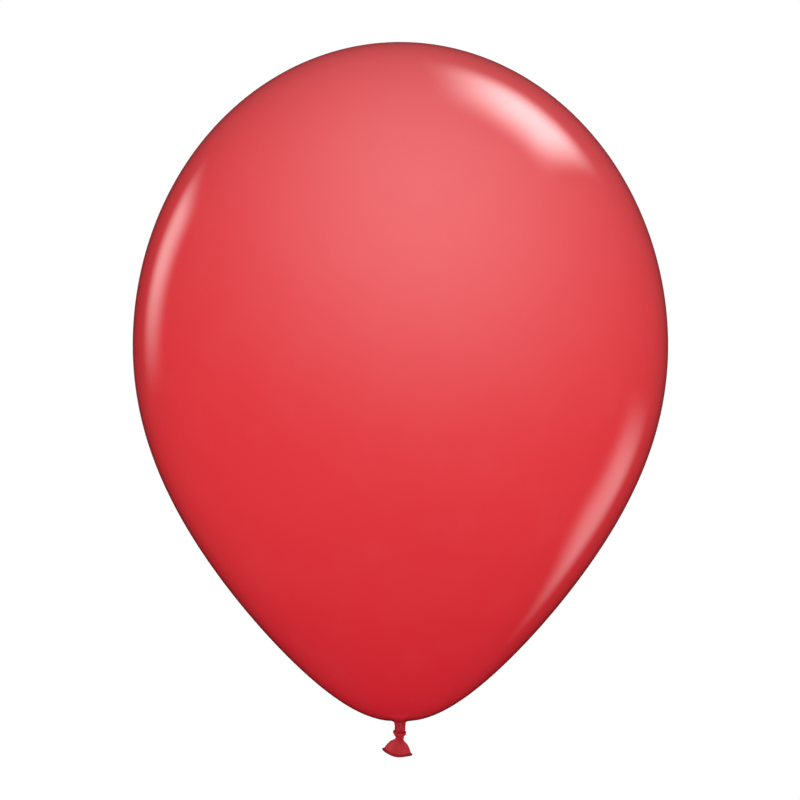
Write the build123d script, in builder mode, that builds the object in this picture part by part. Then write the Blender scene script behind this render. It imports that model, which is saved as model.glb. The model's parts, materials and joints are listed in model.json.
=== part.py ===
"""Latex party balloon, blown up with air and tied in its own neck.

A balloon is one dipped film with a rolled lip.  Blown up and tied it becomes the stretched envelope,
the neck gathered under it, the turn and the strand of the overhand knot, and the free tail with its lip.
The neck, the knot and the tail bend at three pivots, each a rounded end in a rounded seat.

Frame: origin on the neck's axis in the tie groove, +Z up to the crown, X across the flat tail.
All sizes are in millimetres and degrees.
"""
from build123d import *
import os
from math import cos, radians, sin, sqrt

# ---------------------------------------------------------------------------------------------
# Driving dimensions
# ---------------------------------------------------------------------------------------------

# Envelope, the inflated film
belly_radius = 140.0          # its widest circle
crown_height = 158.0          # crown above the widest circle, half an ellipse
taper_height = 197.0          # widest circle above the neck's root
belly_handle = 87.5           # outline's tangent handle, straight down from the widest circle
taper_radius = 80.5           # outline's middle control point, half-way down the taper
taper_rise = 60.0             # the same point above the neck's root
base_radius = 40.0            # outline's flat tangent handle above the neck
film_wall = 0.3               # nominal wall of the film

# Gathered neck, a plug of bunched film that closes the envelope
root_height = 1.0             # neck's root above the groove, and the radius of the fillet to it
plug_rise = 3.0               # bunched film inside the envelope, above the neck's root
groove_length = 0.36          # straight part of the groove where a ribbon is tied
groove_wall = 0.4             # how much wider than the stem the neck is in the groove

# Pivots: every piece ends round and turns in a round seat above it
joint_gap = 0.15              # clearance of each rounded end in its seat
seat_angle = 20.0             # how far above its pivot a seat's rim stops

# Neck stem and knot
strand_radius = 2.1           # the strand of neck that passes through the knot
stem_wall = 0.5               # how much wider than the strand the stem is
stem_length = 1.9             # side pivot to front pivot
wrap_thickness = 1.3          # the knot's turn around the strand, measured outwards
wrap_height = 2.6             # the same turn, measured along the strand
wrap_room = 0.9               # front pivot to the turn
throat_room = 0.5             # turn to the tail's pivot

# Tail, a flattened fan of two plies, and its rolled lip
throat_radius = 1.6           # rounded end under the knot
throat_waist = 1.2            # radius of the bunched film between that end and the fan
throat_length = 1.9           # tail's pivot to where the film spreads into the fan
fan_radius = 10.3             # tail's pivot to the middle of the lip
fan_half_angle = 37.6         # between the fan's middle and the centre of a rounded side edge
fan_lean = 10.5               # the whole fan hangs this far towards -X
fan_half_depth = 1.4          # half of the fan's outside depth, front to back
tail_wall = 0.4               # one ply of unstretched film
throat_depth = 3.6            # bunched, solid film below the tail's pivot
lip_radius = 0.65             # rolled lip

# ---------------------------------------------------------------------------------------------
# Heights and radii that follow
# ---------------------------------------------------------------------------------------------

stem_radius = strand_radius + stem_wall
groove_radius = stem_radius + groove_wall
root_z = root_height
root_radius = groove_radius + root_height
belly_z = root_z + taper_height
seat_rise = (stem_radius + joint_gap) * sin(radians(seat_angle))
side_pivot_z = -groove_length - seat_rise
front_pivot_z = side_pivot_z - stem_length
wrap_z = front_pivot_z - wrap_room - wrap_height / 2
tail_pivot_z = wrap_z - wrap_height / 2 - throat_room
ply_offset = fan_half_depth - tail_wall / 2


def seat_rim(pivot_z, end_radius):
    """Radius and height of the rim of the seat round an end of `end_radius` at `pivot_z`."""
    seat_radius = end_radius + joint_gap
    return seat_radius * cos(radians(seat_angle)), pivot_z + seat_radius * sin(radians(seat_angle))


def seat_arc(pivot_z, end_radius):
    """Outline of that seat, from its rim up to the axis."""
    return CenterArc((0, pivot_z), end_radius + joint_gap, seat_angle, 90 - seat_angle)


def end_arc(pivot_z, end_radius):
    """Outline of a rounded end, from its widest circle up to the axis."""
    return CenterArc((0, pivot_z), end_radius, 0, 90)


def dome(base_z, width, height):
    """Exact quarter of an ellipse, from its widest circle at `base_z` up to the axis."""
    corner = (width, base_z + height)
    return Bezier((width, base_z), corner, (0, base_z + height), weights=(1, sqrt(0.5), 1))


def film_line(inset):
    """Half outline of the envelope, `inset` inside the outer face of its film."""
    width = belly_radius - inset
    floor = root_z + inset
    crown = dome(belly_z, width, crown_height - inset)
    taper = Bezier(
        (width, belly_z),
        (width, belly_z - belly_handle),
        (taper_radius - inset, root_z + taper_rise + inset),
        (base_radius, floor),
        (root_radius, floor),
    )
    return crown, taper


os.makedirs("parts", exist_ok=True)

# ---------------------------------------------------------------------------------------------
# Envelope: a closed bag of stretched film with one small hole, at the neck's root
# ---------------------------------------------------------------------------------------------

with BuildPart() as envelope:
    with BuildSketch(Plane.XZ):
        with BuildLine():
            outer_crown, outer_taper = film_line(0)
            inner_crown, inner_taper = film_line(film_wall)
            Line(outer_crown @ 1, inner_crown @ 1)
            Line(outer_taper @ 1, inner_taper @ 1)
        make_face()
    revolve(axis=Axis.Z)
envelope.part.label = "envelope"
export_step(envelope.part, "parts/envelope.step")

# ---------------------------------------------------------------------------------------------
# Neck gather: fills the envelope's hole, narrows to the tie groove and seats the stem
# ---------------------------------------------------------------------------------------------

with BuildPart() as neck_gather:
    with BuildSketch(Plane.XZ):
        with BuildLine():
            plug_z = root_z + film_wall
            rim_radius, rim_z = seat_rim(side_pivot_z, stem_radius)
            seat = seat_arc(side_pivot_z, stem_radius)
            plug = dome(plug_z, root_radius, plug_rise - film_wall)
            Line(seat @ 1, plug @ 1)
            Line((root_radius, plug_z), (root_radius, root_z))
            CenterArc((root_radius, 0), root_height, 90, 90)
            Polyline((groove_radius, 0), (groove_radius, rim_z), (rim_radius, rim_z))
        make_face()
    revolve(axis=Axis.Z)
neck_gather.part.label = "neck_gather"
export_step(neck_gather.part, "parts/neck_gather.step")

# ---------------------------------------------------------------------------------------------
# Neck stem: the short twisted neck between the groove and the knot
# ---------------------------------------------------------------------------------------------

with BuildPart() as neck_stem:
    with BuildSketch(Plane.XZ):
        with BuildLine():
            rim_radius, rim_z = seat_rim(front_pivot_z, strand_radius)
            seat = seat_arc(front_pivot_z, strand_radius)
            top = end_arc(side_pivot_z, stem_radius)
            Line(seat @ 1, top @ 1)
            Polyline((stem_radius, side_pivot_z), (stem_radius, rim_z), (rim_radius, rim_z))
        make_face()
    revolve(axis=Axis.Z)
neck_stem.part.label = "neck_stem"
export_step(neck_stem.part, "parts/neck_stem.step")

# ---------------------------------------------------------------------------------------------
# Knot: the strand of neck pulled through, and the turn of neck wrapped tight around it
# ---------------------------------------------------------------------------------------------

with BuildPart() as knot_strand:
    with BuildSketch(Plane.XZ):
        with BuildLine():
            rim_radius, rim_z = seat_rim(tail_pivot_z, throat_radius)
            seat = seat_arc(tail_pivot_z, throat_radius)
            top = end_arc(front_pivot_z, strand_radius)
            Line(seat @ 1, top @ 1)
            Polyline((strand_radius, front_pivot_z), (strand_radius, rim_z), (rim_radius, rim_z))
        make_face()
    revolve(axis=Axis.Z)
knot_strand.part.label = "knot_strand"
export_step(knot_strand.part, "parts/knot_strand.step")

with BuildPart() as knot_wrap:
    with BuildSketch(Plane.XZ):
        with Locations((strand_radius, wrap_z)):
            Ellipse(wrap_thickness, wrap_height / 2)
        with Locations((0, wrap_z)):
            Rectangle(2 * strand_radius, 2 * wrap_height, mode=Mode.SUBTRACT)
    revolve(axis=Axis.Z)
knot_wrap.part.label = "knot_wrap"
export_step(knot_wrap.part, "parts/knot_wrap.step")

# ---------------------------------------------------------------------------------------------
# Tail: the fan hangs from its pivot in its own plane, leaning towards -X
# ---------------------------------------------------------------------------------------------

tail_pivot = Vector(0, 0, tail_pivot_z)
fan_axis = Axis(tail_pivot, (0, 1, 0))
fan_across = Vector(cos(radians(fan_lean)), 0, -sin(radians(fan_lean)))
fan_plane = Plane(tail_pivot, x_dir=fan_across, z_dir=(0, -1, 0))


def fan_direction(turn):
    """Direction from the pivot into the fan, `turn` degrees round +Y from the fan's middle."""
    heading = radians(fan_lean + turn)
    return Vector(-sin(heading), 0, -cos(heading))


def edge_plane(turn):
    """Plane at the pivot with its x along the fan's side edge and its y along the depth."""
    along = fan_direction(turn)
    return Plane(tail_pivot, x_dir=along, z_dir=along.cross(Vector(0, 1, 0)))


# The lip runs along the front ply, round one side edge, back along the other ply and round again.
with BuildPart() as lip_bead:
    with BuildSketch(edge_plane(-fan_half_angle)):
        with Locations((fan_radius, ply_offset), (fan_radius, -ply_offset)):
            Circle(lip_radius)
    revolve(axis=fan_axis, revolution_arc=2 * fan_half_angle)
    for turn, bend in ((-fan_half_angle, -180), (fan_half_angle, 180)):
        with BuildSketch(edge_plane(turn)) as lip_section:
            with Locations((fan_radius, -ply_offset)):
                Circle(lip_radius)
        revolve(lip_section.sketch, axis=Axis(tail_pivot, fan_direction(turn)), revolution_arc=bend)
lip_bead.part.label = "lip_bead"
export_step(lip_bead.part, "parts/lip_bead.step")


def fan(half_depth, start, end):
    """The fan with rounded side edges, between two distances from the tail's pivot."""
    with BuildSketch(fan_plane) as sector:
        with BuildLine():
            first = 270 - fan_half_angle
            inner = CenterArc((0, 0), start, first, 2 * fan_half_angle)
            outer = CenterArc((0, 0), end, first, 2 * fan_half_angle)
            Line(inner @ 0, outer @ 0)
            Line(inner @ 1, outer @ 1)
        make_face()
    extrude(sector.sketch, amount=half_depth, both=True)
    for turn in (-fan_half_angle, fan_half_angle):
        along = fan_direction(turn)
        with Locations(Plane(tail_pivot + along * start, z_dir=along)):
            Cylinder(half_depth, end - start, align=(Align.CENTER, Align.CENTER, Align.MIN))


# The skirt is solid where it is bunched under the knot, then two plies with a narrow mouth.
with BuildPart() as mouth:
    fan(fan_half_depth - tail_wall, throat_depth, fan_radius + lip_radius)

with BuildPart() as tail_skirt:
    fan(fan_half_depth, throat_length, fan_radius)
    with Locations(tail_pivot):
        Sphere(throat_radius)
    with Locations(Plane(tail_pivot, z_dir=fan_direction(0))):
        Cylinder(throat_waist, throat_depth, align=(Align.CENTER, Align.CENTER, Align.MIN))
    add(mouth.part, mode=Mode.SUBTRACT)
    add(lip_bead.part, mode=Mode.SUBTRACT)
tail_skirt.part.label = "tail_skirt"
export_step(tail_skirt.part, "parts/tail_skirt.step")
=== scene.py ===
"""Looks of a latex party balloon, blown up with air and tied in its own neck.

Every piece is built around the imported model, in metres, with the tie groove at the origin and +Z up.
"""

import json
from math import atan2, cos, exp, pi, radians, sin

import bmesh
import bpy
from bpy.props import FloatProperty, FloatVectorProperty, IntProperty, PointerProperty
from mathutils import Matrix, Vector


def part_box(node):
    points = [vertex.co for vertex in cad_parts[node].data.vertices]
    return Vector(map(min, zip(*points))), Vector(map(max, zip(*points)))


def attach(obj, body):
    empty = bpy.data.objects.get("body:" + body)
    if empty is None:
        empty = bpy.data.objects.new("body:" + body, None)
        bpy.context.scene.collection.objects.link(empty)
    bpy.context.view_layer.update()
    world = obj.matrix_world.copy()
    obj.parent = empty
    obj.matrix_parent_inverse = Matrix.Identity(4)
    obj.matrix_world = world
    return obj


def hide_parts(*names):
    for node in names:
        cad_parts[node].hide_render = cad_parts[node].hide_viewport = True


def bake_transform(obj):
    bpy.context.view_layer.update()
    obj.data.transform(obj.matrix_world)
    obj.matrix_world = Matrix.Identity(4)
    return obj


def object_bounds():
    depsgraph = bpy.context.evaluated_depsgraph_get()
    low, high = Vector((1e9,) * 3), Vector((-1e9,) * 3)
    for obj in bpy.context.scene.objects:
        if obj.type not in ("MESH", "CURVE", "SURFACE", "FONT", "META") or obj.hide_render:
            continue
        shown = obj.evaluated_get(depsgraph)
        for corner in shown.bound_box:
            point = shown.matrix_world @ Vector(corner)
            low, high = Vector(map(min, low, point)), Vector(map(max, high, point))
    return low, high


bl_info = {
    "name": "Latex Party Balloon",
    "version": (1, 0, 0),
    "blender": (4, 5, 0),
    "location": "View3D > Sidebar > Balloon",
    "description": "Builds the skin, neck, knot, tail and lip of a tied balloon, and a studio for it",
    "category": "Object",
}

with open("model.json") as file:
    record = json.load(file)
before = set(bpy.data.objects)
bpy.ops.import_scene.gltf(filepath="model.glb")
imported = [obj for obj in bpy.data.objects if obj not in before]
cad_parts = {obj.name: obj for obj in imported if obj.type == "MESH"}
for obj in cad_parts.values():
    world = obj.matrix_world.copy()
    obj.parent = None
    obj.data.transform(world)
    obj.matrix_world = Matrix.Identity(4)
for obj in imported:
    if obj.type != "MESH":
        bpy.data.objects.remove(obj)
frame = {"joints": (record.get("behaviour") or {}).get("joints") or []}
CAD_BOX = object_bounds()

JOINTS = {joint["name"]: Vector(joint["pos_m"]) for joint in frame["joints"]}
SIDE_PIVOT = JOINTS["neck_bend_side"]
FRONT_PIVOT = JOINTS["neck_bend_front"]
TAIL_PIVOT = JOINTS["tail_flop"]

# Fits between the pieces, in metres
NECK_HOLE = 0.004  # radius at which the envelope's outline ends, inside the neck
PLUG_RISE = 0.0006  # how far the envelope's closed end stands above its root
ROSETTE_SINK = 0.0005  # how far the rim of the neck's rosette stands inside the film
SLEEVE_LAP = 0.00002  # overlap of the two sleeves of the neck
NECK_END = 0.0019  # lower end of the neck below the front bend, hidden in the knot
CORE_TOP = 0.0009  # upper end of the strand below the front bend, clear of the neck when it bends
CORE_END = 0.0007  # how far the strand runs on below its CAD solid, into the tail
SEAM = 1e-8  # distance below which the points of a tube's seam are one
SPUN_SEAM = 1e-7  # the same for a spun outline
ON_AXIS = 1e-6  # radius below which a point is on the neck's axis


# ---------------------------------------------------------------------------------------------
# Sizes and colours
# ---------------------------------------------------------------------------------------------


class EnvelopeSizes(bpy.types.PropertyGroup):
    """The inflated film: its outline below the belly and the folds that run out from the neck."""

    crown_height: FloatProperty(
        name="Crown Height", description="Crown above the widest circle", default=0.158, unit="LENGTH"
    )
    belly_handle: FloatProperty(
        name="Belly Handle", description="Straight drop below the widest circle",
        default=0.0875, unit="LENGTH"
    )
    taper_radius: FloatProperty(
        name="Taper Radius", description="Middle control point, out from the axis",
        default=0.0805, unit="LENGTH"
    )
    taper_rise: FloatProperty(
        name="Taper Rise", description="Middle control point, above the neck's root",
        default=0.06, unit="LENGTH"
    )
    base_radius: FloatProperty(
        name="Base Radius", description="Where the outline turns flat towards the neck",
        default=0.04, unit="LENGTH"
    )
    fold_depth: FloatProperty(
        name="Fold Depth", description="Depth of the folds where they leave the neck",
        default=0.00022, unit="LENGTH"
    )
    fold_reach: FloatProperty(
        name="Fold Reach", description="Distance over which the folds smooth out",
        default=0.011, unit="LENGTH"
    )
    unevenness: FloatProperty(
        name="Unevenness", description="How far the blown film strays from a true circle",
        default=0.0003, unit="LENGTH"
    )
    around: IntProperty(name="Around", description="Faces around the envelope", default=192, min=32)
    rows: IntProperty(name="Rows", description="Faces from the widest circle to each end", default=88, min=16)


class NeckSizes(bpy.types.PropertyGroup):
    """The bunched neck, from the rosette under the envelope to the knot."""

    rosette_radius: FloatProperty(
        name="Rosette Radius", description="Where the bunched pleats sink into the film",
        default=0.0066, unit="LENGTH"
    )
    groove_radius: FloatProperty(
        name="Groove Radius", description="Neck in the tie groove", default=0.00295, unit="LENGTH"
    )
    stem_radius: FloatProperty(
        name="Stem Radius", description="Twisted neck above the knot", default=0.0027, unit="LENGTH"
    )
    pleats: IntProperty(name="Pleats", description="Folds around the neck", default=9, min=3)
    pleat_depth: FloatProperty(
        name="Pleat Depth", description="Height of each fold above its valley", default=0.00042, unit="LENGTH"
    )
    twist: FloatProperty(
        name="Twist", description="Turn of the folds along each metre of neck",
        default=radians(11000), unit="ROTATION"
    )
    around: IntProperty(name="Around", description="Faces around the neck", default=108, min=24)


class KnotSizes(bpy.types.PropertyGroup):
    """The overhand knot: one turn of bunched neck around the strand that runs through it."""

    turns: FloatProperty(name="Turns", description="How far the band goes round the strand", default=1.32)
    rise: FloatProperty(
        name="Rise", description="How far the band climbs over its whole length",
        default=0.0014, unit="LENGTH"
    )
    ring_radius: FloatProperty(
        name="Ring Radius", description="Strand's axis to the middle of the band",
        default=0.00205, unit="LENGTH"
    )
    band_thickness: FloatProperty(
        name="Band Thickness", description="Half of the band's thickness", default=0.00122, unit="LENGTH"
    )
    band_width: FloatProperty(
        name="Band Width", description="Half of the band's width along the neck",
        default=0.00125, unit="LENGTH"
    )
    tilt: FloatProperty(name="Tilt", description="Slant of the band", default=radians(13), unit="ROTATION")
    start: FloatProperty(
        name="Start", description="Heading at which the band comes out", default=radians(150), unit="ROTATION"
    )
    creases: IntProperty(name="Creases", description="Folds that run along the band", default=7, min=2)
    crease_depth: FloatProperty(
        name="Crease Depth", description="Depth of those folds", default=0.00017, unit="LENGTH"
    )


class TailSizes(bpy.types.PropertyGroup):
    """The free end of the neck, a flattened fan of two plies with a rolled lip."""

    lean: FloatProperty(
        name="Lean", description="Slant of the fan towards -X", default=radians(10.5), unit="ROTATION"
    )
    half_angle: FloatProperty(
        name="Half Angle", description="From the fan's middle to its side edge",
        default=radians(37.6), unit="ROTATION"
    )
    length: FloatProperty(
        name="Length", description="Tail's pivot to the middle of the lip", default=0.0103, unit="LENGTH"
    )
    throat_radius: FloatProperty(
        name="Throat Radius", description="Where the tail comes out of the knot",
        default=0.0021, unit="LENGTH"
    )
    shoulder: FloatProperty(
        name="Shoulder", description="Fullness of the side edges", default=0.0008, unit="LENGTH"
    )
    half_depth: FloatProperty(
        name="Half Depth", description="Middle of a ply from the fan's middle", default=0.0012, unit="LENGTH"
    )
    ply: FloatProperty(name="Ply", description="Thickness of one ply", default=0.00036, unit="LENGTH")
    ruffle: FloatProperty(
        name="Ruffle", description="Front to back waves at the mouth", default=0.00042, unit="LENGTH"
    )
    lip_radius: FloatProperty(
        name="Lip Radius", description="Radius of the rolled lip", default=0.00062, unit="LENGTH"
    )
    around: IntProperty(name="Around", description="Faces around the mouth", default=120, min=24)


class BalloonColours(bpy.types.PropertyGroup):
    """Latex is lightest where it is stretched thin and deepest where it is bunched or rolled; the crease
    colour is painted shade between folds.
    """

    thin: FloatVectorProperty(
        name="Thin Film", description="Stretched film",
        subtype="COLOR", size=4, default=(0.79, 0.036, 0.046, 1.0)
    )
    thick: FloatVectorProperty(
        name="Thick Film", description="Film near the neck",
        subtype="COLOR", size=4, default=(0.67, 0.017, 0.029, 1.0)
    )
    bunched: FloatVectorProperty(
        name="Bunched", description="Neck, knot and tail",
        subtype="COLOR", size=4, default=(0.45, 0.0045, 0.014, 1.0)
    )
    # Painted shade: a near-black red laid between folds, standing in for the shade that falls there.
    crease: FloatVectorProperty(
        name="Crease", description="Valleys between folds",
        subtype="COLOR", size=4, default=(0.2, 0.002, 0.008, 1.0)
    )
    lip: FloatVectorProperty(
        name="Rolled Lip", description="Rolled lip",
        subtype="COLOR", size=4, default=(0.24, 0.003, 0.009, 1.0)
    )
    powder: FloatVectorProperty(
        name="Powder", description="Trace of dusting powder",
        subtype="COLOR", size=4, default=(0.75, 0.3, 0.32, 1.0)
    )


class StudioSettings(bpy.types.PropertyGroup):
    """A plain pale floor, soft lights and a level camera with a long lens."""

    lens: FloatProperty(name="Lens", description="Focal length", default=180.0, unit="CAMERA")
    margin: FloatProperty(name="Margin", description="Frame height for each height of balloon", default=1.12)
    floor_drop: FloatProperty(
        name="Floor Drop", description="Floor below the lip", default=1.5, unit="LENGTH"
    )
    floor_radius: FloatProperty(
        name="Floor Radius", description="Half the floor", default=14.0, unit="LENGTH"
    )
    distance: FloatProperty(
        name="Light Distance", description="From the balloon to each light", default=2.6, unit="LENGTH"
    )


# ---------------------------------------------------------------------------------------------
# Mesh helpers
# ---------------------------------------------------------------------------------------------


def finished(name, bm, material):
    """Mesh object at the origin from a bmesh, with its faces pointing outwards."""
    bmesh.ops.recalc_face_normals(bm, faces=bm.faces)
    mesh = bpy.data.meshes.new(name)
    bm.to_mesh(mesh)
    bm.free()
    for polygon in mesh.polygons:
        polygon.use_smooth = True
    piece = bpy.data.objects.new(name, mesh)
    bpy.context.scene.collection.objects.link(piece)
    piece.data.materials.append(material)
    return piece


def spun(line, around):
    """Closed bmesh from a half outline of (radius, height) points that starts and ends on the axis."""
    bm = bmesh.new()
    points = [bm.verts.new((radius, 0, height)) for radius, height in line]
    edges = [bm.edges.new(pair) for pair in zip(points, points[1:])]
    bmesh.ops.spin(
        bm, geom=points + edges, cent=(0, 0, 0), axis=(0, 0, 1), dvec=(0, 0, 0),
        angle=2 * pi, steps=around, use_merge=True, use_duplicate=False,
    )
    bmesh.ops.remove_doubles(bm, verts=bm.verts, dist=SPUN_SEAM)
    return bm


def wrapped(place, around, along, closed=False):
    """Tube from a grid: `place(turn, share)` gives each point, with `turn` in radians round the tube.

    The seam is merged.  The ends are filled, or joined to each other on a closed tube.
    """
    bm = bmesh.new()
    bmesh.ops.create_grid(bm, x_segments=around, y_segments=along, size=0.5)
    for vert in bm.verts:
        turn = round((vert.co.x + 0.5) * around) % around
        step = round((vert.co.y + 0.5) * along)
        step = step % along if closed else step
        vert.co = place(2 * pi * turn / around, step / along)
    bmesh.ops.remove_doubles(bm, verts=bm.verts, dist=SEAM)
    if not closed:
        close_ends(bm, [edge for edge in bm.edges if edge.is_boundary])
    return bm


def close_ends(bm, edges):
    """Caps the holes round some edges, and keeps the caps out of the smooth shading."""
    caps = bmesh.ops.holes_fill(bm, edges=edges, sides=0)["faces"]
    for cap in caps:
        for edge in cap.edges:
            edge.smooth = False


def between(low, high, value):
    """0 at `low`, 1 at `high`, with an easy start and end."""
    share = min(max((value - low) / (high - low), 0.0), 1.0)
    return share * share * (3 - 2 * share)


def folds(heading, count):
    """Height of bunched folds, 0 in a sharp valley and 1 on a round top, uneven in width."""
    warped = heading + 0.16 * sin(2 * heading + 0.7) + 0.09 * sin(3 * heading + 2.1)
    return abs(sin(count * warped / 2)) ** 0.8


def bezier(points, share):
    """Point on a Bezier curve, by repeated interpolation between its control points."""
    while len(points) > 1:
        points = [a.lerp(b, share) for a, b in zip(points, points[1:])]
    return points[0]


def across(heading, radius, height):
    """Point at a heading, a radius and a height around the neck's axis."""
    return Vector((radius * cos(heading), radius * sin(heading), height))


# ---------------------------------------------------------------------------------------------
# Shared shader groups
# ---------------------------------------------------------------------------------------------


def new_group(name, inputs, outputs):
    """Empty shader group with its named sockets; returns the group, its input and its output node."""
    group = bpy.data.node_groups.new(name, "ShaderNodeTree")
    for label, kind, value in inputs:
        socket = group.interface.new_socket(label, in_out="INPUT", socket_type=kind)
        socket.default_value = value
    for label, kind in outputs:
        group.interface.new_socket(label, in_out="OUTPUT", socket_type=kind)
    return group, group.nodes.new("NodeGroupInput"), group.nodes.new("NodeGroupOutput")


def node(tree, kind, settings=None, **links):
    """Adds a node; `settings` are its properties, and links name an input and a value or a socket."""
    made = tree.nodes.new(kind)
    for key, value in (settings or {}).items():
        setattr(made, key, value)
    for key, value in links.items():
        target = made.inputs[int(key[1:])] if key[1:].isdigit() else made.inputs[key.replace("_", " ")]
        if isinstance(value, bpy.types.NodeSocket):
            tree.links.new(value, target)
        else:
            target.default_value = value
    return made


def calc(tree, operation, *values):
    """Math node on some values or sockets; returns its result."""
    inputs = {f"i{index}": value for index, value in enumerate(values)}
    return node(tree, "ShaderNodeMath", {"operation": operation}, **inputs).outputs[0]


def ramp(tree, value, low, high, start=0.0, end=1.0):
    """Eases a value from `start` at `low` to `end` at `high`."""
    settings = {"interpolation_type": "SMOOTHSTEP"}
    made = node(tree, "ShaderNodeMapRange", settings, i0=value, i1=low, i2=high, i3=start, i4=end)
    return made.outputs[0]


def mixed(tree, factor, first, second):
    """Mix of two colours."""
    made = node(tree, "ShaderNodeMix", {"data_type": "RGBA"}, i0=factor)
    for index, value in ((6, first), (7, second)):
        if isinstance(value, bpy.types.NodeSocket):
            tree.links.new(value, made.inputs[index])
        else:
            made.inputs[index].default_value = value
    return made.outputs[2]


def stretch_group():
    """Colour of the film: thin far from the neck, thick near it and in the small spot at the crown."""
    colour = (0.5, 0.5, 0.5, 1)
    group, given, result = new_group(
        "film_stretch",
        [
            ("Thin Color", "NodeSocketColor", colour),
            ("Thick Color", "NodeSocketColor", colour),
            ("Gathered Color", "NodeSocketColor", colour),
            ("Neck Reach", "NodeSocketFloat", 0.2),
            ("Crown Height", "NodeSocketFloat", 0.356),
            ("Crown Spot", "NodeSocketFloat", 0.02),
        ],
        [("Color", "NodeSocketColor")],
    )
    point = node(group, "ShaderNodeTexCoord").outputs["Object"]
    from_neck = node(group, "ShaderNodeVectorMath", {"operation": "LENGTH"}, i0=point).outputs["Value"]
    near_neck = ramp(group, from_neck, 0.004, given.outputs["Neck Reach"], 1.0, 0.0)
    crown = node(group, "ShaderNodeCombineXYZ", Z=given.outputs["Crown Height"]).outputs[0]
    gap = node(group, "ShaderNodeVectorMath", {"operation": "DISTANCE"}, i0=point, i1=crown).outputs["Value"]
    near_crown = ramp(group, gap, 0.002, given.outputs["Crown Spot"], 0.45, 0.0)
    cloud = node(group, "ShaderNodeTexNoise", Vector=point, Scale=16.0, Detail=3.0, Roughness=0.55).outputs[0]
    cloud = calc(group, "MULTIPLY", calc(group, "SUBTRACT", cloud, 0.5), 0.22)
    thickness = calc(group, "ADD", calc(group, "MAXIMUM", near_neck, near_crown), cloud)
    thickness = node(group, "ShaderNodeClamp", Value=thickness).outputs[0]
    tint = mixed(group, thickness, given.outputs["Thin Color"], given.outputs["Thick Color"])
    gathered = ramp(group, from_neck, 0.005, 0.02, 1.0, 0.0)
    tint = mixed(group, gathered, tint, given.outputs["Gathered Color"])
    group.links.new(tint, result.inputs["Color"])
    return group


def painted_fold_shade_group():
    """Mask of painted shade in the hollows between folds, from the piece's own `fold` attribute."""
    group, given, result = new_group(
        "painted_fold_shade",
        [("Width", "NodeSocketFloat", 0.5), ("Strength", "NodeSocketFloat", 0.8)],
        [("Crease", "NodeSocketFloat")],
    )
    fold = node(group, "ShaderNodeAttribute", {"attribute_name": "fold"}).outputs["Fac"]
    # Painted shade: strongest at the bottom of each fold, fading out towards its top.
    valley = ramp(group, fold, 0.0, given.outputs["Width"], 1.0, 0.0)
    group.links.new(calc(group, "MULTIPLY", valley, given.outputs["Strength"]), result.inputs["Crease"])
    return group


def powder_group():
    """Trace of dusting powder: a faint soft bloom, broken up by a very fine grain."""
    group, given, result = new_group(
        "dusting_powder",
        [("Bloom Scale", "NodeSocketFloat", 60.0), ("Amount", "NodeSocketFloat", 0.1)],
        [("Powder", "NodeSocketFloat")],
    )
    point = node(group, "ShaderNodeTexCoord").outputs["Object"]
    scale = given.outputs["Bloom Scale"]
    bloom = node(group, "ShaderNodeTexNoise", Vector=point, Scale=scale, Detail=4.0, Roughness=0.6).outputs[0]
    bloom = ramp(group, bloom, 0.4, 0.8)
    grain = node(group, "ShaderNodeTexNoise", Vector=point, Scale=7000.0, Detail=1.0).outputs[0]
    grain = ramp(group, grain, 0.3, 0.75, 0.4, 1.0)
    amount = calc(group, "MULTIPLY", calc(group, "MULTIPLY", bloom, grain), given.outputs["Amount"])
    group.links.new(amount, result.inputs["Powder"])
    return group


def skin_group():
    """Relief of dipped latex: slow thickness waves and a fine grain, as a height in metres."""
    group, given, result = new_group(
        "latex_relief",
        [
            ("Wave Scale", "NodeSocketFloat", 24.0),
            ("Wave Height", "NodeSocketFloat", 0.0001),
            ("Grain Scale", "NodeSocketFloat", 1500.0),
            ("Grain Height", "NodeSocketFloat", 0.000002),
        ],
        [("Height", "NodeSocketFloat")],
    )
    point = node(group, "ShaderNodeTexCoord").outputs["Object"]
    heights = []
    for name, detail in (("Wave", 1.0), ("Grain", 2.0)):
        scale = given.outputs[f"{name} Scale"]
        noise = node(group, "ShaderNodeTexNoise", Vector=point, Scale=scale, Detail=detail).outputs[0]
        heights.append(calc(group, "MULTIPLY", noise, given.outputs[f"{name} Height"]))
    group.links.new(calc(group, "ADD", *heights), result.inputs["Height"])
    return group


# ---------------------------------------------------------------------------------------------
# Materials
# ---------------------------------------------------------------------------------------------


def placed(tree, group_name, maker, values):
    """Places a shared group in a material, building it the first time."""
    group = bpy.data.node_groups.get(group_name) or maker()
    made = tree.nodes.new("ShaderNodeGroup")
    made.node_tree = group
    for label, value in values.items():
        made.inputs[label].default_value = value
    return made


def new_material(name):
    """Material with a Principled shader; returns it with its tree and that shader."""
    material = bpy.data.materials.new(name)
    material.use_nodes = True
    tree = material.node_tree
    return material, tree, tree.nodes["Principled BSDF"]


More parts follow.
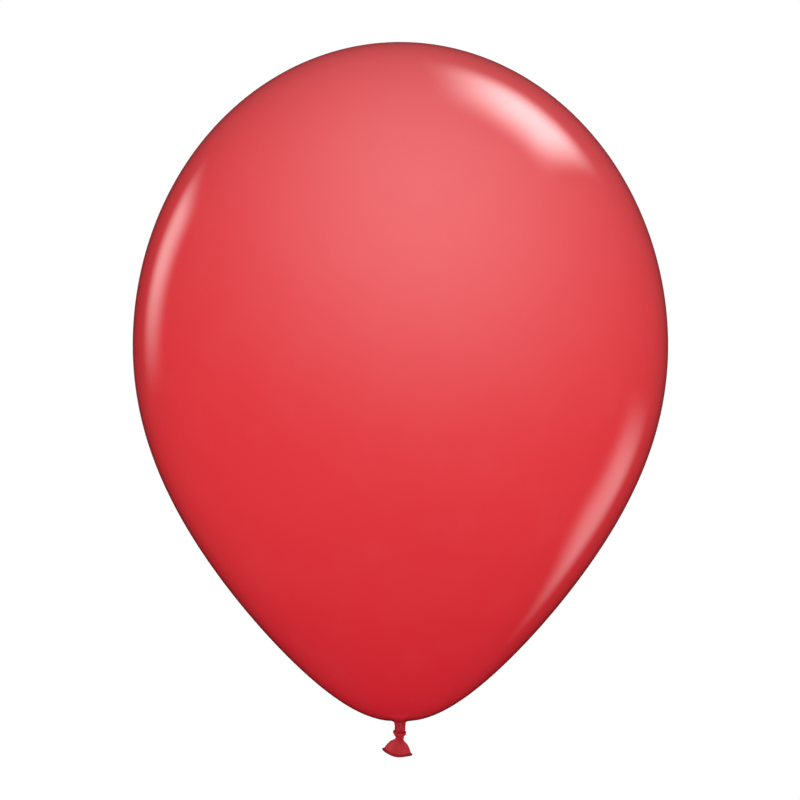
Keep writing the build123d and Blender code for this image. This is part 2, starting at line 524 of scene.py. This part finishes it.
def latex(name, tones, powder, gloss, relief, crease=None):
    """Latex of one piece.

    `tones` are its colours where it is thin, thick and gathered, and `gloss` is its roughness, the
    roughness of the powder on it and its specular level.  `powder`, `relief` and `crease` hold the
    values of the shared groups, `crease` those of the painted shade between folds; latex without
    folds leaves `crease` out.
    """
    existing = bpy.data.materials.get(name)
    if existing:
        return existing
    colours = bpy.context.scene.balloon_colours
    material, tree, shader = new_material(name)
    values = dict(zip(("Thin Color", "Thick Color", "Gathered Color"), map(tuple, tones)))
    values["Crown Height"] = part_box("envelope")[1].z
    tint = placed(tree, "film_stretch", stretch_group, values).outputs["Color"]
    if crease:
        valley_shade = placed(tree, "painted_fold_shade", painted_fold_shade_group, crease)
        # Painted shade: the near-black crease colour mixed in between folds.
        tint = mixed(tree, valley_shade.outputs[0], tint, tuple(colours.crease))
    dust = placed(tree, "dusting_powder", powder_group, powder)
    tint = mixed(tree, dust.outputs[0], tint, tuple(colours.powder))
    tree.links.new(tint, shader.inputs["Base Color"])
    smooth, dusty, specular = gloss
    tree.links.new(ramp(tree, dust.outputs[0], 0.0, 1.0, smooth, dusty), shader.inputs["Roughness"])
    height = placed(tree, "latex_relief", skin_group, relief)
    bump = node(tree, "ShaderNodeBump", Strength=1.0, Distance=1.0, Height=height.outputs[0])
    tree.links.new(bump.outputs[0], shader.inputs["Normal"])
    shader.inputs["IOR"].default_value = 1.52
    shader.inputs["Specular IOR Level"].default_value = specular
    return material


def film_latex():
    """Stretched film: glassy and even, a little deeper towards the neck and at the crown."""
    colours = bpy.context.scene.balloon_colours
    return latex(
        "stretched_latex",
        (colours.thin, colours.thick, colours.bunched),
        {"Bloom Scale": 40.0, "Amount": 0.03},
        (0.09, 0.5, 1.0),
        {"Wave Scale": 22.0, "Wave Height": 0.00012, "Grain Scale": 2500.0, "Grain Height": 0.0000006},
    )


def bunched_latex():
    """Unstretched latex of the neck, knot and tail: thicker, deeper and more satin."""
    colours = bpy.context.scene.balloon_colours
    return latex(
        "bunched_latex",
        (colours.bunched, colours.bunched, colours.bunched),
        {"Bloom Scale": 300.0, "Amount": 0.06},
        (0.22, 0.6, 0.36),
        {"Wave Scale": 600.0, "Wave Height": 0.00003, "Grain Scale": 9000.0, "Grain Height": 0.0000015},
        # Painted shade between the folds of neck, knot and tail.
        {"Width": 0.55, "Strength": 0.85},
    )


def lip_latex():
    """Rolled lip: many layers of film, the deepest red of all."""
    colours = bpy.context.scene.balloon_colours
    return latex(
        "rolled_latex",
        (colours.lip, colours.lip, colours.lip),
        {"Bloom Scale": 400.0, "Amount": 0.07},
        (0.2, 0.6, 0.3),
        {"Wave Scale": 900.0, "Wave Height": 0.00002, "Grain Scale": 9000.0, "Grain Height": 0.0000015},
    )


def with_folds(piece, height):
    """Stores on each point how high it stands in its fold, for the painted shade between folds in the
    material.
    """
    attribute = piece.data.attributes.new("fold", "FLOAT", "POINT")
    values = [height(vert.co) for vert in piece.data.vertices]
    attribute.data.foreach_set("value", values)


# ---------------------------------------------------------------------------------------------
# Operators
# ---------------------------------------------------------------------------------------------


def film_outline(sizes):
    """Half outline of the envelope from the crown, over the belly, to the axis inside the neck."""
    low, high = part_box("envelope")
    belly = high.x
    belly_z = high.z - sizes.crown_height
    angles = [pi / 2 * step / sizes.rows for step in range(sizes.rows)]
    crown = [(belly * sin(angle), belly_z + sizes.crown_height * cos(angle)) for angle in angles]
    handles = [
        Vector((belly, belly_z)),
        Vector((belly, belly_z - sizes.belly_handle)),
        Vector((sizes.taper_radius, low.z + sizes.taper_rise)),
        Vector((sizes.base_radius, low.z)),
        Vector((NECK_HOLE, low.z)),
    ]
    shares = (step / sizes.rows for step in range(sizes.rows + 1))
    taper = [tuple(bezier(handles, share)) for share in shares]
    inside = [(NECK_HOLE / 2, low.z + PLUG_RISE), (0.0, low.z + PLUG_RISE)]
    return crown + taper + inside


class BALLOON_OT_envelope(bpy.types.Operator):
    """Spin the inflated film and press the folds in that run out from the neck"""

    bl_idname = "balloon.envelope"
    bl_label = "Envelope"

    def execute(self, context):
        sizes = context.scene.balloon_envelope
        pleats = context.scene.balloon_neck.pleats
        bm = spun(film_outline(sizes), sizes.around)
        for vert in bm.verts:
            radius = vert.co.xy.length
            if radius < ON_AXIS:
                continue
            heading = atan2(vert.co.y, vert.co.x)
            height = vert.co.z
            sway = sin(2 * heading + 1.3 + 9 * height) + 0.6 * sin(3 * heading + 4.0 - 14 * height)
            radius += sizes.unevenness * sway * radius / CAD_BOX[1].x
            depth = sizes.fold_depth * exp(-(radius - NECK_HOLE + height) / sizes.fold_reach)
            vert.co = across(heading, radius, height + depth * (1 - folds(heading, pleats)))
        piece = finished("envelope_skin", bm, film_latex())
        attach(piece, "envelope")
        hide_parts("envelope")
        return {"FINISHED"}


class BALLOON_OT_neck(bpy.types.Operator):
    """Gather the film into pleats under the envelope and twist them down to the knot"""

    bl_idname = "balloon.neck"
    bl_label = "Neck"

    def execute(self, context):
        self.sizes = context.scene.balloon_neck
        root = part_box("envelope")[0].z
        groove = self.sizes.groove_radius
        middle = (SIDE_PIVOT.z + FRONT_PIVOT.z) / 2
        bottom = FRONT_PIVOT.z - NECK_END
        rosette_share = 0.6  # of the upper sleeve's rows
        rosette = [
            Vector((self.sizes.rosette_radius, root + ROSETTE_SINK)),
            Vector((0.0052, root - 0.0001)),
            Vector((groove + 0.001, root - 0.0002)),
            Vector((groove + 0.0001, 0.0004)),
            Vector((groove, 0.0)),
        ]

        def upper(share):
            if share < rosette_share:
                return bezier(rosette, share / rosette_share)
            return self.stem((share - rosette_share) / (1 - rosette_share) * (middle - SLEEVE_LAP))

        def lower(share):
            return self.stem(middle + (bottom - middle) * share)

        top = self.sleeve("neck_upper", upper, 44, lambda share: between(0.03, 0.5, share))
        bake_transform(top)
        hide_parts("neck_gather", "neck_stem")
        foot = self.sleeve("neck_lower", lower, 20, lambda share: 1.0)
        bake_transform(foot)
        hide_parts("neck_stem")
        return {"FINISHED"}

    def stem(self, height):
        """Half outline of the twisted neck, from the tie groove down into the knot."""
        groove, stem = self.sizes.groove_radius, self.sizes.stem_radius
        radius = groove + (stem - groove) * between(0.0, 0.0022, -height)
        squeeze = between(0.0002, NECK_END, FRONT_PIVOT.z - height)
        return Vector((radius - 0.0005 * squeeze, height))

    def fold(self, heading, height):
        """Height of the twisted folds at a heading, at a height on the neck."""
        return folds(heading + self.sizes.twist * min(height, 0.0), self.sizes.pleats)

    def sleeve(self, name, line, along, depth):
        """Pleated tube along a half outline; `depth` scales the pleats at each share of it."""

        def place(turn, share):
            radius, height = line(share)
            lift = self.sizes.pleat_depth * depth(share) * (self.fold(turn, height) - 0.6)
            return across(turn, radius + lift, height)

        piece = finished(name, wrapped(place, self.sizes.around, along), bunched_latex())
        with_folds(piece, lambda co: self.fold(atan2(co.y, co.x), co.z))
        return piece


class BALLOON_OT_knot(bpy.types.Operator):
    """Wrap one turn of bunched neck tight around the strand that passes through the knot"""

    bl_idname = "balloon.knot"
    bl_label = "Knot"

    def execute(self, context):
        sizes = context.scene.balloon_knot
        neck = context.scene.balloon_neck
        low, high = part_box("knot_wrap")
        middle = (low.z + high.z) / 2

        def section(turn):
            crease = folds(turn, sizes.creases)
            return 1 - sizes.crease_depth / sizes.band_thickness * (1 - crease)

        def band(turn, share):
            travel = 2 * pi * sizes.turns * share
            heading = sizes.start + travel
            ends = between(0.0, 0.1, share) * between(0.0, 0.12, 1 - share)
            over = between(0.68, 0.84, share)
            size = (0.3 + 0.7 * ends) * section(turn)
            radius = sizes.ring_radius * (0.45 + 0.55 * ends) + 0.0005 * over
            height = middle + sizes.rise * (share - 0.5) + radius * sin(heading) * sin(sizes.tilt)
            height += 0.00012 * sin(3 * heading)
            radius += size * sizes.band_thickness * cos(turn)
            return across(heading, radius, height + size * sizes.band_width * sin(turn))

        wrap = finished("knot_turn", wrapped(band, 56, 150), bunched_latex())

        def crease_height(co):
            rise = co.z - middle - co.y * sin(sizes.tilt)
            return folds(atan2(rise, co.xy.length - sizes.ring_radius), sizes.creases)

        with_folds(wrap, crease_height)
        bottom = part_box("knot_strand")[0].z
        crest = FRONT_PIVOT.z - CORE_TOP

        def fold(heading, height):
            return folds(heading + 0.6 * neck.twist * (height - bottom), neck.pleats - 2)

        def strand(turn, share):
            height = crest + (bottom - CORE_END - crest) * share
            radius = 0.0019 - 0.0008 * between(0.16, 0.74, share)
            return across(turn, radius + neck.pleat_depth * (fold(turn, height) - 0.6), height)

        core = finished("knot_core", wrapped(strand, neck.around, 30), bunched_latex())
        with_folds(core, lambda co: fold(atan2(co.y, co.x), co.z))
        for piece, cad_node in ((wrap, "knot_wrap"), (core, "knot_strand")):
            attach(piece, "knot")
            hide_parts(cad_node)
        return {"FINISHED"}


def mouth_point(sizes, turn, share):
    """Point on the middle of the tail's film: `share` runs from the knot to the mouth."""
    lean = sizes.lean
    side = Vector((cos(lean), 0, -sin(lean)))
    down = Vector((-sin(lean), 0, -cos(lean)))
    depth = Vector((0, 1, 0))
    reach = sizes.length * share
    swing = sizes.half_angle * cos(turn)
    bulge = abs(sin(turn)) ** 0.7 * (1 if sin(turn) > 0 else -1)
    ply = sizes.half_depth * (1 + 0.12 * sin(2 * turn + 0.8)) * bulge
    edge = (sizes.half_depth + sizes.shoulder * sin(pi * share)) * cos(turn)
    wave = sizes.ruffle * share * share * (sin(5 * swing + 0.9) + 0.5 * sin(9 * swing + 2.0))
    length = reach * (1 + 0.018 * share * sin(3 * turn + 0.4))
    fan = side * (length * sin(swing) + edge) + down * length * cos(swing) + depth * (ply + wave)
    throat = (side * cos(turn) + depth * 0.85 * sin(turn)) * sizes.throat_radius + down * reach
    return TAIL_PIVOT + throat.lerp(fan, between(0.0, 0.42, share))


class BALLOON_OT_tail(bpy.types.Operator):
    """Flatten the free end of the neck into a two-ply fan with an open mouth"""

    bl_idname = "balloon.tail"
    bl_label = "Tail"

    def execute(self, context):
        sizes = context.scene.balloon_tail
        neck = context.scene.balloon_neck
        start = -0.2  # share at which the film comes out, inside the knot

        def fold(turn):
            return folds(turn + 0.5, neck.pleats + 2)

        def place(turn, share):
            share = start + (1 - start) * share
            point = mouth_point(sizes, turn, share)
            lift = neck.pleat_depth * (1 - between(0.1, 0.85, share)) * (fold(turn) - 0.7)
            along = sizes.lean * min(max(share, 0.0), 1.0)
            out = Vector((cos(turn) * cos(along), sin(turn), -cos(turn) * sin(along)))
            return point + out * lift

        around = sizes.around
        bm = bmesh.new()
        bmesh.ops.create_grid(bm, x_segments=around, y_segments=40, size=0.5)
        layer = bm.verts.layers.float.new("fold")
        for vert in bm.verts:
            turn = 2 * pi * (round((vert.co.x + 0.5) * around) % around) / around
            share = vert.co.y + 0.5
            flat = between(0.3, 0.8, share)
            # Fold heights for the painted shade between folds; 1 on the flat fan, so no shade is painted
            # there.
            vert[layer] = fold(turn) * (1 - flat) + flat
            vert.co = place(turn, share)
        bmesh.ops.remove_doubles(bm, verts=bm.verts, dist=SEAM)
        throat = TAIL_PIVOT.z
        close_ends(bm, [edge for edge in bm.edges if edge.is_boundary and edge.verts[0].co.z > throat])
        bmesh.ops.recalc_face_normals(bm, faces=bm.faces)
        bmesh.ops.solidify(bm, geom=bm.faces[:], thickness=sizes.ply)
        piece = finished("tail_fan", bm, bunched_latex())
        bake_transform(piece)
        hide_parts("tail_skirt")
        return {"FINISHED"}


class BALLOON_OT_lip(bpy.types.Operator):
    """Roll the lip along the mouth of the tail"""

    bl_idname = "balloon.lip"
    bl_label = "Lip"

    def execute(self, context):
        sizes = context.scene.balloon_tail
        around = sizes.around
        step = 2 * pi / around

        def roll(turn, share):
            heading = 2 * pi * share
            centre = mouth_point(sizes, heading, 1.0)
            ahead = mouth_point(sizes, heading + step, 1.0) - mouth_point(sizes, heading - step, 1.0)
            outward = (centre - mouth_point(sizes, heading, 0.96)).normalized()
            beside = ahead.cross(outward).normalized()
            layers = folds(turn + 0.3 * sin(3 * heading), 5)
            swell = 1 + 0.05 * sin(4 * heading + 1.0) + 0.03 * sin(11 * heading)
            radius = sizes.lip_radius * swell * (0.86 + 0.14 * layers)
            return centre + (outward * cos(turn) + beside * sin(turn)) * radius

        bm = wrapped(roll, 28, around, closed=True)
        piece = finished("lip_roll", bm, lip_latex())
        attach(piece, "tail")
        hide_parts("lip_bead")
        return {"FINISHED"}


# ---------------------------------------------------------------------------------------------
# Studio
# ---------------------------------------------------------------------------------------------


def fade(tree, value, dark, light):
    """Eases from 0 where a value is at `dark` to 1 where it is at `light`, whichever is larger."""
    if dark < light:
        return ramp(tree, value, dark, light)
    return ramp(tree, value, light, dark, 1.0, 0.0)


def facing(tree, ray, heading):
    """Cosine between a ray and a heading."""
    aim = tuple(Vector(heading).normalized())
    return node(tree, "ShaderNodeVectorMath", {"operation": "DOT_PRODUCT"}, i0=ray, i1=aim).outputs["Value"]


def soft_panel(tree, ray, first, last, ends, sides, level):
    """Reflected glow of a soft panel that reaches from direction `first` to `last`.

    `ends` gives how softly it starts and stops along its length, as two pairs of (dark, light), in
    sines from its middle; `sides` does the same for its lower and its upper edge.
    """
    first, last = Vector(first).normalized(), Vector(last).normalized()
    aim = (first + last).normalized()
    along = (last - first).normalized()
    upright = aim.cross(along)
    glow = fade(tree, facing(tree, ray, aim), 0.0, 0.3)
    for heading, edges in ((along, ends), (upright, sides)):
        offset = facing(tree, ray, heading)
        for edge in edges:
            glow = calc(tree, "MULTIPLY", glow, fade(tree, offset, *edge))
    return calc(tree, "MULTIPLY", glow, level)


def studio_world():
    """White to the eye; a wide glow and soft panels in reflections; a soft fill for everything else."""
    world = bpy.data.worlds.new("studio")
    bpy.context.scene.world = world
    world.use_nodes = True
    tree = world.node_tree
    tree.nodes.clear()
    ray = node(tree, "ShaderNodeTexCoord").outputs["Generated"]
    wide = calc(tree, "MULTIPLY_ADD", facing(tree, ray, (0.16, -0.6, 0.78)), 0.5, 0.5)
    seen = calc(tree, "MULTIPLY", calc(tree, "POWER", wide, 2.9), 1.45)
    panels = (
        {
            "first": (0.15, 0.55, 0.82), "last": (0.66, 0.53, 0.54), "level": 4.0,
            "ends": ((-0.37, 0.05), (0.35, 0.16)), "sides": ((-0.5, -0.14), (0.23, -0.07)),
        },
        {
            "first": (-0.7, 0.7, -0.06), "last": (-0.65, 0.66, 0.38), "level": 1.5,
            "ends": ((-0.3, 0.08), (0.3, 0.16)), "sides": ((-0.27, -0.05), (0.19, -0.02)),
        },
        {
            "first": (0.61, 0.57, -0.56), "last": (0.73, 0.65, -0.2), "level": 0.95,
            "ends": ((-0.26, -0.08), (0.3, 0.05)), "sides": ((-0.24, -0.04), (0.3, 0.04)),
        },
    )
    for panel in panels:
        seen = calc(tree, "ADD", seen, soft_panel(tree, ray, **panel))
    path = node(tree, "ShaderNodeLightPath")
    height = facing(tree, ray, (0, 0, 1))
    from_below = ramp(tree, height, -0.9, 0.1, 0.9, 1.33)
    from_above = ramp(tree, height, -0.1, 0.9, 1.33, 0.78)
    level = calc(tree, "MINIMUM", from_below, from_above)
    for kind, value in (("Is Glossy Ray", seen), ("Is Camera Ray", 1.0)):
        mix = node(tree, "ShaderNodeMix", {"data_type": "FLOAT"}, i0=path.outputs[kind], i2=level, i3=value)
        level = mix.outputs[0]
    background = node(tree, "ShaderNodeBackground", Strength=level)
    background.inputs["Color"].default_value = (1, 1, 1, 1)
    output = node(tree, "ShaderNodeOutputWorld")
    tree.links.new(background.outputs[0], output.inputs[0])


def panel_light(name, first, last, width, radiance, distance, centre):
    """Rectangular light from direction `first` to `last` as seen from `centre`, out of reflections."""
    first, last = Vector(first).normalized(), Vector(last).normalized()
    aim = (first + last).normalized()
    along = (last - first).normalized()
    light = bpy.data.lights.new(name, "AREA")
    light.shape = "RECTANGLE"
    light.size = (last - first).length * distance
    light.size_y = width * distance
    light.energy = radiance * pi * light.size * light.size_y
    lamp = bpy.data.objects.new(name, light)
    bpy.context.scene.collection.objects.link(lamp)
    upright = aim.cross(along).normalized()
    turn = Matrix((along, upright, along.cross(upright))).transposed()
    lamp.matrix_world = Matrix.Translation(centre + aim * distance) @ turn.to_4x4()
    lamp.visible_camera = False
    lamp.visible_glossy = False


class BALLOON_OT_studio(bpy.types.Operator):
    """Lay the floor, set the soft lights and aim the level camera"""

    bl_idname = "balloon.studio"
    bl_label = "Studio"

    def execute(self, context):
        settings = context.scene.balloon_studio
        low, high = (Vector(corner) for corner in CAD_BOX)
        centre = Vector((0, 0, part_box("envelope")[1].z - context.scene.balloon_envelope.crown_height))
        self.floor(low.z - settings.floor_drop, settings.floor_radius)
        studio_world()
        for light in (
            ("key", (-0.15, -0.8, 0.4), (0.75, -0.65, 0.35), 0.8, 0.15),
            ("back_fill", (0.5, 0.8, 0.5), (-0.5, 0.8, 0.5), 0.7, 0.4),
        ):
            panel_light(*light, settings.distance, centre)
        self.camera(settings, (low + high) / 2, high.z - low.z)
        context.scene.view_settings.view_transform = "Standard"
        return {"FINISHED"}

    def floor(self, height, radius):
        """Plain pale round floor, out of sight in reflections."""
        bm = bmesh.new()
        bmesh.ops.create_circle(bm, cap_ends=True, radius=radius, segments=96)
        bmesh.ops.translate(bm, verts=bm.verts, vec=(0, 0, height))
        material, tree, shader = new_material("pale_floor")
        point = node(tree, "ShaderNodeTexCoord").outputs["Object"]
        cloud = node(tree, "ShaderNodeTexNoise", Vector=point, Scale=3.0, Detail=5.0).outputs[0]
        tint = mixed(tree, cloud, (0.86, 0.86, 0.86, 1), (0.9, 0.9, 0.9, 1))
        tree.links.new(tint, shader.inputs["Base Color"])
        shader.inputs["Roughness"].default_value = 0.9
        shader.inputs["Emission Color"].default_value = (1, 1, 1, 1)
        shader.inputs["Emission Strength"].default_value = 0.62
        floor = finished("studio_floor", bm, material)
        floor.visible_glossy = False
        floor.visible_diffuse = False

    def camera(self, settings, centre, height):
        """Level camera straight in front, far enough to frame the whole balloon."""
        camera = bpy.data.cameras.new("camera")
        camera.lens = settings.lens
        distance = height * settings.margin * camera.lens / camera.sensor_width
        eye = bpy.data.objects.new("camera", camera)
        eye.location = centre - Vector((0, distance, 0))
        eye.rotation_euler = (pi / 2, 0, 0)
        camera.clip_end = 100
        bpy.context.scene.collection.objects.link(eye)
        bpy.context.scene.camera = eye


class BALLOON_PT_panel(bpy.types.Panel):
    """Lists the balloon's pieces in the sidebar"""

    bl_label = "Latex Balloon"
    bl_idname = "BALLOON_PT_panel"
    bl_space_type = "VIEW_3D"
    bl_region_type = "UI"
    bl_category = "Balloon"

    def draw(self, context):
        for operator, group in STEPS:
            box = self.layout.box()
            box.operator(operator.bl_idname)
            if group:
                self.settings(box, context.scene, group)
        box = self.layout.box()
        box.label(text="Colours")
        self.settings(box, context.scene, "balloon_colours")

    def settings(self, box, scene, group):
        """Lists the settings of one group."""
        for name in GROUPS[group].__annotations__:
            box.prop(getattr(scene, group), name)


STEPS = (
    (BALLOON_OT_envelope, "balloon_envelope"),
    (BALLOON_OT_neck, "balloon_neck"),
    (BALLOON_OT_knot, "balloon_knot"),
    (BALLOON_OT_tail, "balloon_tail"),
    (BALLOON_OT_lip, None),
    (BALLOON_OT_studio, "balloon_studio"),
)
GROUPS = {
    "balloon_envelope": EnvelopeSizes,
    "balloon_neck": NeckSizes,
    "balloon_knot": KnotSizes,
    "balloon_tail": TailSizes,
    "balloon_colours": BalloonColours,
    "balloon_studio": StudioSettings,
}
CLASSES = (*GROUPS.values(), *(operator for operator, group in STEPS), BALLOON_PT_panel)


def register():
    for item in CLASSES:
        bpy.utils.register_class(item)
    for name, group in GROUPS.items():
        setattr(bpy.types.Scene, name, PointerProperty(type=group))


def unregister():
    for name in GROUPS:
        delattr(bpy.types.Scene, name)
    for item in reversed(CLASSES):
        bpy.utils.unregister_class(item)


def main():
    """Registers the add-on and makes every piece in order."""
    register()
    bpy.ops.balloon.envelope()
    bpy.ops.balloon.neck()
    bpy.ops.balloon.knot()
    bpy.ops.balloon.tail()
    bpy.ops.balloon.lip()
    bpy.ops.balloon.studio()


if __name__ == "__main__":
    main()
